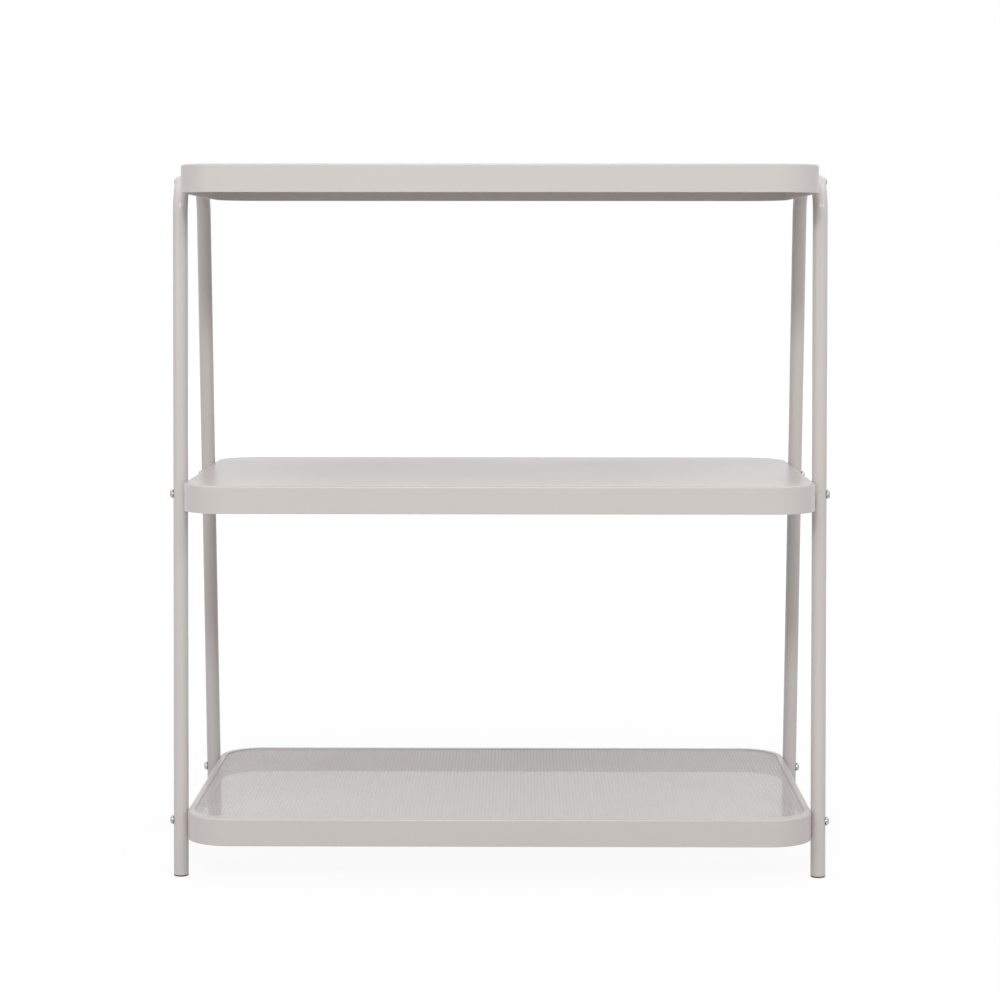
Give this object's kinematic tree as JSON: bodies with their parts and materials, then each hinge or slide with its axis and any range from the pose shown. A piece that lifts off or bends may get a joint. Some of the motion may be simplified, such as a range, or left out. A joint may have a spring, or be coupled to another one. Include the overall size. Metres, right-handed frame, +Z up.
{
  "type": "three-tier shelf",
  "caption": "Free-standing metal shelf: bent tube side frames carry two flanged sheet shelves and a mesh bottom shelf with rounded corners.",
  "frame": {"origin": "on the floor under the middle of the shelves", "axes": "+X to the right seen from the front, +Y to the back, +Z up"},
  "size_m": [0.7088, 0.405, 0.76],
  "materials": {
    "powder_coated_sheet": "satin powder coat",
    "powder_coated_tube": "satin powder coat",
    "powder_coated_mesh": "satin powder coat on expanded metal",
    "zinc_fasteners": "bright zinc plate",
    "foot_plastic": "matt moulded plastic"
  },
  "bodies": {
    "root": {"left_side_frame": "powder_coated_tube", "right_side_frame": "powder_coated_tube", "top_shelf": "powder_coated_sheet", "middle_shelf": "powder_coated_sheet", "bottom_shelf_frame": "powder_coated_sheet", "bottom_shelf_mesh": "powder_coated_mesh", "screw_top_front_left": "zinc_fasteners", "screw_top_rear_left": "zinc_fasteners", "screw_top_front_right": "zinc_fasteners", "screw_top_rear_right": "zinc_fasteners", "screw_middle_front_left": "zinc_fasteners", "screw_middle_rear_left": "zinc_fasteners", "screw_middle_front_right": "zinc_fasteners", "screw_middle_rear_right": "zinc_fasteners", "screw_bottom_front_left": "zinc_fasteners", "screw_bottom_rear_left": "zinc_fasteners", "screw_bottom_front_right": "zinc_fasteners", "screw_bottom_rear_right": "zinc_fasteners", "nut_top_front_left": "zinc_fasteners", "nut_top_rear_left": "zinc_fasteners", "nut_top_front_right": "zinc_fasteners", "nut_top_rear_right": "zinc_fasteners", "nut_middle_front_left": "zinc_fasteners", "nut_middle_rear_left": "zinc_fasteners", "nut_middle_front_right": "zinc_fasteners", "nut_middle_rear_right": "zinc_fasteners", "nut_bottom_front_left": "zinc_fasteners", "nut_bottom_rear_left": "zinc_fasteners", "nut_bottom_front_right": "zinc_fasteners", "nut_bottom_rear_right": "zinc_fasteners", "foot_plug_front_left": "foot_plastic", "foot_plug_rear_left": "foot_plastic", "foot_plug_front_right": "foot_plastic", "foot_plug_rear_right": "foot_plastic"}
  },
  "joints": []
}
